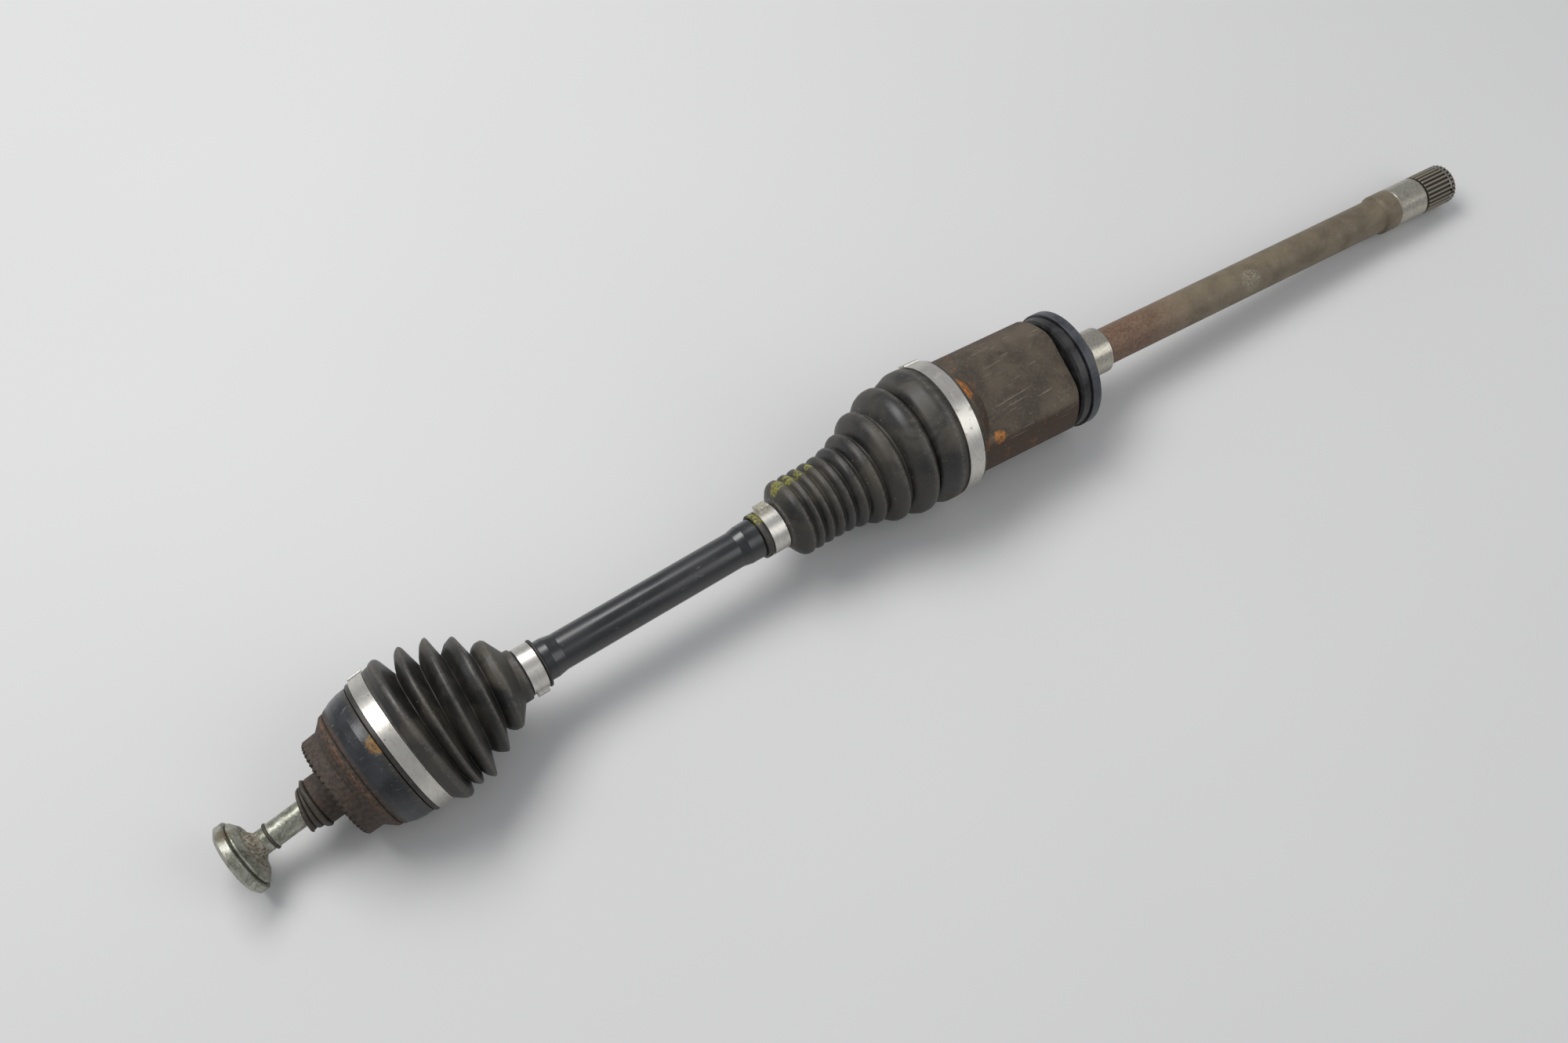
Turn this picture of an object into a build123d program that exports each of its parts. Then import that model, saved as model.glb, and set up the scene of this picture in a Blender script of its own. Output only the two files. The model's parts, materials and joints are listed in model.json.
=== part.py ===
from build123d import *
from math import acos, asin, atan, cos, degrees, pi, radians, sin, sqrt, tan
import os

# Front-axle drive shaft lying on a floor, in millimetres.
# X runs along the bar from the wheel side to the gearbox side and Z is up.
# The floor is Z = 0 and the origin lies on it under the middle of the whole shaft.

# Where the shaft lies
WHEEL_CENTRE_X = -385.44
BAR_Y = -0.6
BAR_HEIGHT = 42.65
BAR_SPAN = 441.0
BAR_RISE = 0.279
WHEEL_DROP = 11.93
WHEEL_TURN = 1.52
TULIP_DROP = 4.03
TULIP_TURN = 2.05

# Ball joint on the wheel side
BALLS = 6
BALL_R = 8.73
BALL_CIRCLE_R = 30.5
BALL_FIT = 0.1
RACE_R = 27.0
RACE_HALF_WIDTH = 13.0
CAGE_FIT = 0.1
CAGE_OUTER_R = 33.2
CAGE_HALF_WIDTH = 13.5
HOUSING_SPHERE_R = 33.3
MOUTH_X = 20.0
MOUTH_R = 38.5
BELL_R = 41.9
FACE_X = -32.5
PILOT_R = 14.9
FACE_TEETH = 48
FACE_TOOTH_DEPTH = 2.4
BOLT_R = 7.6
BOLT_BORE_R = 7.7
BOLT_LEFT_X = -100.5
BOLT_RIM_R = 22.9

# Bar
BAR_R = 11.8
NECK_R = 11.0
SEAT_R = 12.0
SHOULDER_R = SEAT_R + 0.9
SPLINE_TIP_R = 11.5
SPLINE_ROOT_R = 10.5
BAR_TEETH = 28

# Tripod joint on the gearbox side
TRACK_ANGLES = (199.2, 319.2, 79.2)
TRUNNION_R = 26.5
HEAD_R = 7.6
HEAD_HEIGHT = 10.4
RING_BORE_R = 7.9
RING_R = 9.2
NEEDLE_R = 1.3
NEEDLES = 24
ROLLER_BORE_R = 11.9
ROLLER_R = 14.2
ROLLER_WIDTH = 11.4
TRACK_HALF_WIDTH = 14.3
TRACK_TOP = 33.0
CORE_R = 24.5
LOBE_R = 40.5
FLAT_H = 31.0
TULIP_MOUTH_R = LOBE_R + 1.3
MOUTH_TO_CENTRE = 43.4
TULIP_END = 49.6

# Gearbox-side shaft, along the tulip axis from the joint centre
SHAFT_R = 12.8
DUST_SEAT_R = 25.0
COLLAR_R = 16.0
COLLAR_X = (81.0, 97.0)
END_SEAT_R = 14.6
END_SEAT_X = (361.8, 400.4)
END_SPLINE_X = (402.0, 432.0)
END_TEETH = 28
END_ROOT_R = 13.2
END_GROOVE_X = 426.4

# Boots and their bands
BOOT_FIT = 0.1
LARGE_CUFF_WALL = 1.9
SMALL_CUFF_WALL = 2.2
BAND_FIT = 0.05


def turned(*outline):
    """Solid of revolution about X from its half outline in (x, radius) points."""
    return revolve(make_face(Polyline(*outline, close=True)), Axis.X)


def rounded_turned(outline, corners):
    """Turned solid whose listed outline corners, given as (index, radius), are rounded."""
    face = make_face(Polyline(*outline, close=True))
    for index, radius in corners:
        near = Vector(*outline[index])
        corner = min(face.vertices(), key=lambda v: (Vector(v.X, v.Y, v.Z) - near).length)
        face = fillet(corner, radius)
    return revolve(face, Axis.X)


def tube(x0, x1, inner_r, outer_r):
    return turned((x0, inner_r), (x1, inner_r), (x1, outer_r), (x0, outer_r))


def around(angle):
    """Turn about X that carries the +Y direction to this angle."""
    return Rot(angle, 0, 0)


def spline_face(teeth, tip_r, root_r):
    """Straight-sided spline outline in the YZ plane."""
    points = []
    for tooth in range(teeth):
        for part, radius in ((-0.36, root_r), (-0.16, tip_r), (0.16, tip_r), (0.36, root_r)):
            angle = 2 * pi * (tooth + part) / teeth
            points.append((radius * cos(angle), radius * sin(angle)))
    return Plane.YZ * make_face(Polyline(*points, close=True))


def splined(x0, x1, teeth, tip_r, root_r):
    return Pos(x0, 0, 0) * extrude(spline_face(teeth, tip_r, root_r), x1 - x0)


# The two bends of the shaft as it lies
bar_axis = Vector(cos(radians(BAR_RISE)), 0, sin(radians(BAR_RISE)))
wheel_axis = Vector(
    cos(radians(WHEEL_DROP)) * cos(radians(WHEEL_TURN)),
    cos(radians(WHEEL_DROP)) * sin(radians(WHEEL_TURN)),
    sin(radians(WHEEL_DROP)),
)
tulip_axis = Vector(
    cos(radians(TULIP_DROP)) * cos(radians(TULIP_TURN)),
    -cos(radians(TULIP_DROP)) * sin(radians(TULIP_TURN)),
    -sin(radians(TULIP_DROP)),
)
wheel_hinge = -bar_axis.cross(wheel_axis).normalized()
tulip_hinge = bar_axis.cross(tulip_axis).normalized()
wheel_bend = bar_axis.get_angle(wheel_axis)
tulip_bend = bar_axis.get_angle(tulip_axis)

wheel_centre = Vector(WHEEL_CENTRE_X, BAR_Y, BAR_HEIGHT)
spider_centre = wheel_centre + bar_axis * BAR_SPAN


def frame(origin, along, hinge):
    """Frame with X along the given axis and Y along the hinge axis."""
    return Plane(origin=origin, x_dir=along, z_dir=along.cross(hinge)).location


BAR = frame(wheel_centre, bar_axis, Vector(0, 1, 0))
BAR_AT_WHEEL = frame(wheel_centre, bar_axis, wheel_hinge)
WHEEL = frame(wheel_centre, wheel_axis, wheel_hinge)
CAGE = frame(wheel_centre, (bar_axis + wheel_axis).normalized(), wheel_hinge)
BAR_AT_TULIP = frame(spider_centre, bar_axis, tulip_hinge)


def trunnion_head(angle):
    """Centre of a trunnion head, which the bar carries."""
    up = bar_axis.cross(tulip_hinge)
    turn = radians(angle)
    return spider_centre + (tulip_hinge * cos(turn) + up * sin(turn)) * TRUNNION_R


tulip_up = tulip_axis.cross(tulip_hinge)
first = radians(TRACK_ANGLES[0])
tulip_centre = trunnion_head(TRACK_ANGLES[0]) - (
    tulip_hinge * cos(first) + tulip_up * sin(first)
) * TRUNNION_R
TULIP = frame(tulip_centre, tulip_axis, tulip_hinge)

parts = {}

# Ball tracks, shared by the housing and the inner race
ball_angles = [30 + 60 * i for i in range(BALLS)]


def ball_track(start, sweep, closed):
    """Ring-shaped track round the joint centre, in the plane of one ball."""
    ring = Pos(0, 0, BALL_CIRCLE_R) * (Plane.YZ * Circle(BALL_R + BALL_FIT))
    track = Rot(0, start, 0) * revolve(ring, Axis.Y, sweep)
    if closed:
        track += Rot(0, start, 0) * (Pos(0, 0, BALL_CIRCLE_R) * Sphere(BALL_R + BALL_FIT))
    return track


# Wheel-side housing: bell, toothed face, pilot nose and threaded bore
bell = rounded_turned(
    [
        (-29.5, 0), (-29.5, BOLT_BORE_R), (-46.6, BOLT_BORE_R + 0.8), (-46.6, 11.7), (-43.5, 11.7),
        (-43.5, PILOT_R - 0.6), (-42.9, PILOT_R), (FACE_X, PILOT_R), (FACE_X, 31.0), (-31.0, 32.4),
        (-22.0, 32.8), (-18.2, 36.1), (-17.4, 36.8), (-15.6, 38.6), (-13.4, 39.0), (-12.8, 38.3),
        (-12.0, 39.6), (-5.8, 42.1), (-0.5, 43.2), (5.6, BELL_R + 1.5), (6.2, BELL_R), (MOUTH_X, BELL_R),
        (MOUTH_X, MOUTH_R), (9.6, 31.9), (0, 24.0), (-26.5, 19.5), (-26.5, 0),
    ],
    [(17, 5.0), (7, 1.2), (10, 1.0)],
)
hollow = Sphere(HOUSING_SPHERE_R) & turned((-26.5, 0), (-26.5, 40), (12, 40), (12, 0))
housing = bell - hollow
track = ball_track(-24.5, 87, True)
housing -= [around(angle - 90) * track for angle in ball_angles]
gap_low, gap_high = 0.46 * 2 * pi * 19.5 / FACE_TEETH, 0.46 * 2 * pi * 34 / FACE_TEETH
tooth_gap = loft([
    Plane(origin=(FACE_X, 0, r), x_dir=(0, 1, 0), z_dir=(0, 0, 1))
    * make_face(Polyline((-w, 0), (w, 0), (w * 0.25, -d), (-w * 0.25, -d), close=True))
    for r, w, d in ((20.5, gap_low, FACE_TOOTH_DEPTH * 0.62), (34.0, gap_high, FACE_TOOTH_DEPTH))
])
tooth_gap += Pos(-1, 0, 0) * tooth_gap
housing -= [around(i * 360 / FACE_TEETH) * tooth_gap for i in range(FACE_TEETH)]
parts["wheel_joint_housing"] = WHEEL * housing

# Central bolt with its flanged head, captive washer and rubber ring
socket = Plane.YZ * RegularPolygon(8.5, 6, major_radius=False)
bolt = rounded_turned(
    [
        (BOLT_LEFT_X, 0), (BOLT_LEFT_X, 19.8), (-98.0, BOLT_RIM_R),
        (-93.2, BOLT_RIM_R), (-92.4, 21.6), (-92.4, 12.6), (-87.0, 12.4), (-83.0, 7.4),
        (-76.8, 7.4), (-76.4, 6.6), (-75.0, 6.6), (-74.6, BOLT_R), (-31.5, BOLT_R),
        (-30.5, 6.6), (-30.5, 0),
    ],
    [(3, 0.6), (7, 2.0)],
)
bolt -= Pos(BOLT_LEFT_X - 1, 0, 0) * extrude(socket, 9)
parts["hub_bolt"] = WHEEL * bolt
washer = rounded_turned(
    [(-92.2, 12.8), (-92.2, 20.4), (-90.8, 20.6), (-87.3, 15.8), (-87.3, 12.8)], [(2, 0.8)]
)
parts["bolt_washer"] = WHEEL * washer
parts["bolt_o_ring"] = WHEEL * (Pos(-75.7, 0, 0) * Rot(0, 90, 0) * Torus(7.65, 1.0))

# Rubber seal on the end of the nose: two beads joined by a skewed sleeve
SKEW = 27.0
inner_bead = Pos(-45.4, 0, 0) * Rot(0, 90, 0)
outer_bead = around(SKEW) * Pos(-51.6, 0.6, 0) * Rot(0, 0, -14) * Rot(0, 90, 0)
seal = inner_bead * Torus(14.2, 1.7) + outer_bead * Torus(11.4, 1.6)
seal += loft([inner_bead * Circle(14.6), outer_bead * Circle(11.9)])
seal -= loft([
    inner_bead * Pos(0, 0, 4) * Circle(13.4), inner_bead * Circle(13.2),
    outer_bead * Circle(10.6), outer_bead * Pos(0, 0, -4) * Circle(10.2),
], ruled=True)
parts["nose_seal"] = WHEEL * seal

# Inner race, cage, balls and retaining ring
race = Sphere(RACE_R) & turned(
    (-RACE_HALF_WIDTH, 0), (-RACE_HALF_WIDTH, 40), (RACE_HALF_WIDTH, 40), (RACE_HALF_WIDTH, 0)
)
race -= splined(-20, 20, BAR_TEETH, SPLINE_TIP_R + 0.05, SPLINE_ROOT_R + 0.05)
race_track = ball_track(-75, 150, False)
race -= [around(angle - 90) * race_track for angle in ball_angles]
parts["inner_race"] = BAR_AT_WHEEL * race

cage = (Sphere(CAGE_OUTER_R) - Sphere(RACE_R + CAGE_FIT)) & turned(
    (-CAGE_HALF_WIDTH, 0), (-CAGE_HALF_WIDTH, 40), (CAGE_HALF_WIDTH, 40), (CAGE_HALF_WIDTH, 0)
)
window = Plane.XY.offset(18) * RectangleRounded(2 * BALL_R + 0.34, 20.4, 5)
window = extrude(window, 20)
cage -= [around(angle - 90) * window for angle in ball_angles]
parts["ball_cage"] = CAGE * cage

for number, angle in enumerate(ball_angles, 1):
    lean = atan(sin(radians(angle)) * tan(radians(wheel_bend / 2)))
    seat = around(angle - 90) * Pos(-BALL_CIRCLE_R * sin(lean), 0, BALL_CIRCLE_R * cos(lean))
    parts[f"ball_{number}"] = BAR_AT_WHEEL * (seat * Sphere(BALL_R))

clip = tube(-14.7, -13.1, 9.75, 12.4) - Pos(-14, 11, 0) * Box(4, 8, 5)
parts["race_circlip"] = BAR_AT_WHEEL * clip

# Bar with a splined end in each joint and a grooved seat under each boot
AT_END = Pos(BAR_SPAN, 0, 0)
left_spline = splined(-17, 13.1, BAR_TEETH, SPLINE_TIP_R, SPLINE_ROOT_R) - tube(-14.8, -13.0, 9.7, 13)
right_spline = splined(-9.1, 13, BAR_TEETH, SPLINE_TIP_R, SPLINE_ROOT_R) - tube(9.0, 10.8, 9.7, 13)
bar = BAR.inverse() * BAR_AT_WHEEL * left_spline + BAR.inverse() * BAR_AT_TULIP * right_spline
bar += turned(
    (13.1, 0), (13.1, 12.6), (15.5, 12.6), (18, NECK_R), (78, NECK_R), (84, 12.6), (90.2, SHOULDER_R),
    (90.6, SEAT_R), (105.4, SEAT_R), (105.8, SHOULDER_R), (111, 13.0), (118, BAR_R), (118, 0),
)
bar += turned((117, 0), (117, BAR_R), (BAR_SPAN - 196, BAR_R), (BAR_SPAN - 196, 0))
bar += AT_END * turned(
    (-197, 0), (-197, BAR_R), (-191, 13.0), (-181.6, SHOULDER_R + 0.2), (-181.2, SEAT_R),
    (-163.8, SEAT_R), (-163.4, SHOULDER_R), (-160, 12.9), (-153, NECK_R), (-14, NECK_R),
    (-11.5, 12.6), (-9.1, 12.6), (-9.1, 0),
)
parts["bar_shaft"] = BAR * bar


def bellows(discs, lining):
    """Solid made of overlapping turned discs, each on its own place along a bent spine."""
    outer = discs[0]
    for disc in discs[1:]:
        outer += disc
    inner = lining[0]
    for disc in lining[1:]:
        inner += disc
    return outer - inner


def on_spine(station, start, end, bend, side):
    """Place on the line that turns from a joint housing's axis to the bar's axis."""
    t = min(max((abs(station) - start) / (end - start), 0), 1)
    share = t * t * (3 - 2 * t)
    lean = bend * (1 - share)
    x = station * (share + (1 - share) * cos(radians(bend)))
    z = abs(station) * (1 - share) * sin(radians(bend))
    return Pos(x, 0, z) * Rot(0, -lean * side, 0)


# Outer boot: large cuff, five leaning folds and a stepped small cuff
def fold(rise, crest_r, foot_r, back, back_r, blunt=1.5, full=1.0):
    """Half outline of one fold: long rounded front, narrow crest, steep back."""
    height = crest_r - foot_r
    return [
        (-rise, 0), (-rise, foot_r), (-0.66 * rise * full, foot_r + 0.52 * height),
        ((-0.30 * rise - 0.3 * blunt) * full, crest_r - 0.14 * height), (-0.5 * blunt, crest_r - 0.15),
        (0.5 * blunt, crest_r), (blunt, crest_r - 0.9), (blunt + back, back_r), (blunt + back, 0),
    ]


def lining_of(outline, wall):
    """Outline of a fold's hollow, one wall thickness inside it."""
    n = len(outline)
    inside = [(outline[0][0], 0), (outline[0][0], max(outline[1][1] - wall, 3))]
    inside += [(x + 0.45 * wall, r - wall) for x, r in outline[2:3]]
    inside += [(-0.1 * wall, outline[5][1] - 1.5 * wall)]
    inside += [(outline[n - 2][0] - 0.55 * wall, max(outline[n - 2][1] - 0.4 * wall, 3))]
    inside += [(outline[n - 1][0] - 0.55 * wall, 0)]
    return inside


WALL = 2.0
outer_folds = [
    (39.2, -1.0, -3.9, fold(9.5, 46.4, 29, 5.0, 26)),
    (51.1, -1.4, -5.8, fold(10.5, 45.3, 26, 5.5, 22, 1.5, 1.05)),
    (64.8, 2.0, -4.0, fold(12.5, 37.6, 21, 6.0, 17, 1.5, 1.25)),
    (76.8, 1.0, -4.4, fold(12.0, 28.6, 15, 7.0, 16.4, 3.4)),
]
to_wheel = BAR_AT_WHEEL.inverse() * WHEEL
cuff_r = BELL_R + BOOT_FIT + LARGE_CUFF_WALL
first_fold = to_wheel * Pos(26.4, -1.6, 0)
outer_discs = [
    to_wheel * turned(
        (6.4, 0), (6.4, cuff_r + 0.6), (9.1, cuff_r + 0.6), (9.2, cuff_r), (18.7, cuff_r),
        (18.95, cuff_r + 1.1), (22.5, cuff_r + 1.8), (25.5, cuff_r + 0.6), (26.0, 36), (26.0, 0),
    ),
    first_fold * turned(
        (-6.6, 0), (-6.6, 44.6), (-2.0, 48.0), (0, 48.5), (1.4, 48.4), (2.8, 47.2), (8.1, 29), (8.1, 0),
    ),
]
outer_lining = [
    to_wheel * tube(6.3, 21.2, 0, BELL_R + BOOT_FIT),
    first_fold * turned((-5.5, 0), (-5.5, 41.6), (0.2, 45.6), (6.4, 26.5), (6.4, 0)),
]
for station, aside, twist, outline in outer_folds:
    place = on_spine(station, 28, 70, wheel_bend, 1) * Pos(0, aside, 0) * Rot(0, 0, twist)
    outer_discs.append(place * turned(*outline))
    outer_lining.append(place * turned(*lining_of(outline, WALL)))
bore_r = SEAT_R + BOOT_FIT
neck_r = bore_r + SMALL_CUFF_WALL
outer_discs.append(turned(
    (80, 0), (80, neck_r + 2.6), (91.0, neck_r + 2.3), (92.2, neck_r), (103.3, neck_r),
    (103.6, neck_r + 1.5), (105.2, neck_r + 1.3), (105.2, 0),
))
outer_lining.append(turned((78, 0), (78, 14.4), (89.4, 14.4), (90.9, bore_r), (106, bore_r), (106, 0)))
parts["outer_boot"] = BAR_AT_WHEEL * bellows(outer_discs, outer_lining)

# Inner boot: small cuff, ten folds growing towards the tulip and a rolled large cuff
inner_folds = [
    (-154.8, fold(8.0, 25.7, 17.0, 3.0, 21.5, 2.6)), (-147.0, fold(4.4, 25.7, 21.5, 3.0, 21.3, 1.6)),
    (-139.6, fold(4.4, 25.8, 21.5, 3.2, 21.3, 1.6)), (-131.8, fold(4.8, 25.9, 21.5, 3.4, 21.3, 1.7)),
    (-123.8, fold(5.0, 26.3, 21.5, 3.6, 21.5, 1.8)), (-114.8, fold(6.0, 27.8, 21.5, 4.0, 22.5, 2.0, 1.05)),
    (-104.0, fold(7.4, 31.5, 22.5, 4.4, 24.5, 2.4, 1.08)), (-90.2, fold(10.2, 38.0, 25, 5.6, 29, 3.2, 1.12)),
    (-72.2, fold(13.5, 43.4, 30, 6.4, 34.5, 4.0, 1.12)),
]
to_tulip = BAR_AT_TULIP.inverse() * TULIP
inner_discs = [turned(
    (-180.8, 0), (-180.8, neck_r + 0.6), (-177.6, neck_r + 0.7), (-176.1, neck_r), (-164.7, neck_r),
    (-163.4, neck_r + 2.7), (-162.4, neck_r + 2.7), (-162.4, 0),
)]
inner_lining = [turned(
    (-182, 0), (-182, bore_r), (-164.2, bore_r), (-161.6, 15.0), (-156, 15.0), (-156, 0)
)]
for station, outline in inner_folds:
    place = on_spine(station, 48, 112, tulip_bend, -1)
    inner_discs.append(place * turned(*outline))
    inner_lining.append(place * turned(*lining_of(outline, WALL)))
roll_bore_r = TULIP_MOUTH_R + BOOT_FIT
roll_r = roll_bore_r + LARGE_CUFF_WALL
roll = rounded_turned(
    [(-68, 0), (-68, 34), (-64, roll_r - 2.4), (-55, roll_r + 1.4), (-48.8, roll_r + 1.4),
     (-45.8, roll_r), (-33.6, roll_r), (-33.4, roll_r + 0.5), (-32.2, roll_r + 0.3), (-32.2, 0)],
    [(2, 3.0), (3, 3.0), (4, 1.5)],
)
inner_discs.append(to_tulip * roll)
inner_lining.append(to_tulip * turned(
    (-66.8, 0), (-66.8, 31.5), (-62.6, roll_r - 4.9), (-54.4, roll_r - 0.9), (-50, roll_r - 0.9),
    (-48.8, roll_bore_r), (-32, roll_bore_r), (-32, 0),
))
parts["inner_boot"] = BAR_AT_TULIP * bellows(inner_discs, inner_lining)


# Boot clamps: flat bands with their closed ends
def band(x0, x1, seat_r, thickness, ear_angle, ear_size):
    ring = tube(x0, x1, seat_r, seat_r + thickness)
    length, width, height = ear_size
    ear = Box(width, height + thickness, length)
    ear = Pos((x0 + x1) / 2, seat_r + thickness / 2 + height / 2, 0) * ear
    ear = fillet(ear.edges().filter_by(Axis.X).group_by(Axis.Y)[-1], min(height, length) * 0.35)
    return ring + around(ear_angle) * (ear - tube(x0 - 1, x1 + 1, 0.1, seat_r))


small_band_r = neck_r + BAND_FIT
wheel_band = band(9.3, 18.6, cuff_r + BAND_FIT, 1.05, 32, (7, 9.4, 1.4))
tulip_band = band(-45.6, -34.2, roll_r + BAND_FIT, 1.05, 60, (8, 11.0, 1.2))
parts["outer_boot_large_clamp"] = WHEEL * wheel_band
parts["outer_boot_small_clamp"] = BAR * band(92.6, 102.9, small_band_r, 0.8, 196, (5, 7.5, 2.2))
parts["inner_boot_small_clamp"] = BAR * AT_END * band(-175.9, -164.9, small_band_r, 0.8, 50, (9, 7.5, 2.6))
parts["inner_boot_large_clamp"] = TULIP * tulip_band

# Tulip with three roller tracks, forged in one with the long shaft
flats = Rot(0, 0, TRACK_ANGLES[2]) * RegularPolygon(FLAT_H, 3, major_radius=False, rotation=0)
lobe_profile = Plane.YZ * (Circle(LOBE_R) & flats)
lobes = extrude(lobe_profile, TULIP_END + 30)
lobes = fillet(lobes.edges().filter_by(Axis.X), 7)
lobes = Pos(-30, 0, 0) * lobes
limit_r = LOBE_R + 1.5
lobes &= rounded_turned([(-30, 0), (-30, limit_r), (TULIP_END, limit_r), (TULIP_END, 0)], [(2, 9.0)])
body = lobes + turned(
    (-MOUTH_TO_CENTRE, 0), (-MOUTH_TO_CENTRE, TULIP_MOUTH_R), (-30.5, TULIP_MOUTH_R),
    (-29.5, LOBE_R + 0.1), (-28, LOBE_R - 0.3), (-16, 30), (-16, 0),
)
body += rounded_turned(
    [
        (TULIP_END - 6, 0), (TULIP_END - 6, 30), (TULIP_END, 30),
        (TULIP_END + 1, DUST_SEAT_R), (60, DUST_SEAT_R),
        (68, 23.5), (75, 18.0), (COLLAR_X[0], 17.6), (COLLAR_X[0], 17.0), (85.0, 17.0), (85.2, COLLAR_R),
        (COLLAR_X[1], COLLAR_R), (COLLAR_X[1] + 1.6, SHAFT_R), (END_SEAT_X[0] - 1.5, SHAFT_R),
        (END_SEAT_X[0], END_SEAT_R), (373.6, END_SEAT_R), (374, END_SEAT_R - 0.5), (375, END_SEAT_R - 0.5),
        (375.4, END_SEAT_R), (END_SEAT_X[1], END_SEAT_R), (END_SPLINE_X[0], END_ROOT_R - 0.4),
        (END_SPLINE_X[0] + 1.5, END_ROOT_R - 0.4), (END_SPLINE_X[0] + 1.5, 0),
    ],
    [(5, 3.0), (6, 2.5)],
)
end_spline = splined(END_SPLINE_X[0] + 1, END_SPLINE_X[1], END_TEETH, END_SEAT_R, END_ROOT_R)
end_spline &= turned(
    (END_SPLINE_X[0], 0), (END_SPLINE_X[0], 13.2), (END_SPLINE_X[0] + 2.5, 15), (END_SPLINE_X[1] - 2, 15),
    (END_SPLINE_X[1], 12.2), (END_SPLINE_X[1], 0),
)
end_spline -= tube(END_GROOVE_X - 0.9, END_GROOVE_X + 0.9, 12.3, 16)
end_spline -= Pos(END_SPLINE_X[1], 0, 0) * turned((-6, 0), (0, 3.4), (1, 3.4), (1, 0))
body += end_spline
track_slot = Plane.YZ * (Pos(TRACK_TOP / 2, 0) * RectangleRounded(TRACK_TOP, 2 * TRACK_HALF_WIDTH, 1.5))
track_slot = Pos(-MOUTH_TO_CENTRE - 2, 0, 0) * extrude(track_slot, MOUTH_TO_CENTRE + 2 + 43)
cavity = turned(
    (-MOUTH_TO_CENTRE - 1, 0), (-MOUTH_TO_CENTRE - 1, 36.6), (-24.5, CORE_R), (40, CORE_R),
    (43, 20), (43, 0),
)
body -= cavity
body -= [around(angle) * track_slot for angle in TRACK_ANGLES]
parts["tulip_shaft"] = TULIP * body

# Dust ring pressed on the back of the tulip
dust = rounded_turned(
    [
        (51.4, DUST_SEAT_R + 0.02), (51.4, 36.6), (52.6, 38.6), (57.6, 38.9), (58.1, 38.2), (58.6, 38.2),
        (59.0, 40.3), (65.2, 40.3), (65.5, 39.9), (65.5, 38.4), (59.0, 37.4), (55.5, 36.0), (54.6, 28.0),
        (58.5, 27.2), (58.5, DUST_SEAT_R + 0.02),
    ],
    [(6, 0.4), (11, 0.8)],
)
parts["dust_ring"] = TULIP * dust
end_ring = tube(END_GROOVE_X - 0.75, END_GROOVE_X + 0.75, 12.5, 14.35)
end_ring -= Pos(END_GROOVE_X, -13.5, 0) * Box(3, 4, 4)
parts["end_circlip"] = TULIP * end_ring

# Spider on the bar: hub and three round-headed trunnions
spider = rounded_turned([(-9, 5), (-9, 15), (9, 15), (9, 5)], [(1, 1.5), (2, 1.5)])
for angle in TRACK_ANGLES:
    pin = Pos(0, 16.5, 0) * Rot(-90, 0, 0) * Cone(7.4, 5.0, 7)
    pin += Pos(0, 22.5, 0) * Rot(-90, 0, 0) * Cylinder(5.0, 6)
    head = Pos(0, TRUNNION_R, 0) * Sphere(HEAD_R)
    head &= Pos(0, TRUNNION_R, 0) * Box(20, HEAD_HEIGHT, 20)
    spider += around(angle) * (pin + head)
spider -= splined(-20, 20, BAR_TEETH, SPLINE_TIP_R + 0.05, SPLINE_ROOT_R + 0.05)
parts["tripod_spider"] = BAR_AT_TULIP * spider
clip = tube(9.1, 10.7, 9.75, 12.4) - Pos(10, 11, 0) * Box(4, 8, 5)
parts["spider_circlip"] = BAR_AT_TULIP * clip

# Rollers: plain inner ring, needles and outer roller, upright to the track
needle_circle_r = RING_R + NEEDLE_R + 0.03
for number, angle in enumerate(TRACK_ANGLES, 1):
    shift = -TRUNNION_R * (sin(radians(angle)) - sin(first)) * sin(radians(tulip_bend))
    place = TULIP * Pos(shift, 0, 0) * around(angle) * Pos(0, TRUNNION_R, 0) * Rot(-90, 0, 0)
    half = ROLLER_WIDTH / 2
    ring = Cylinder(RING_R, ROLLER_WIDTH - 0.6) - Cylinder(RING_BORE_R, ROLLER_WIDTH)
    parts[f"roller_ring_{number}"] = place * ring
    needle = Pos(needle_circle_r, 0, 0) * Cylinder(NEEDLE_R, ROLLER_WIDTH - 3.2)
    parts[f"needles_{number}"] = place * Compound(
        children=[Rot(0, 0, i * 360 / NEEDLES) * needle for i in range(NEEDLES)]
    )
    roller = Cylinder(ROLLER_R, ROLLER_WIDTH)
    roller = fillet(roller.edges(), 1.4)
    roller -= Cylinder(ROLLER_BORE_R, ROLLER_WIDTH - 2.8)
    roller -= Cylinder(RING_R + 0.35, ROLLER_WIDTH + 1)
    parts[f"roller_{number}"] = place * roller

os.makedirs("parts", exist_ok=True)
for name, solid in parts.items():
    export_step(solid, f"parts/{name}.step")

box = Compound(children=[Compound(solid.solids()) for solid in parts.values()]).bounding_box()
print("size", box.size, "from", box.min, "to", box.max)
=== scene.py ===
import json
import math
import bpy
from mathutils import Matrix, Vector


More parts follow.
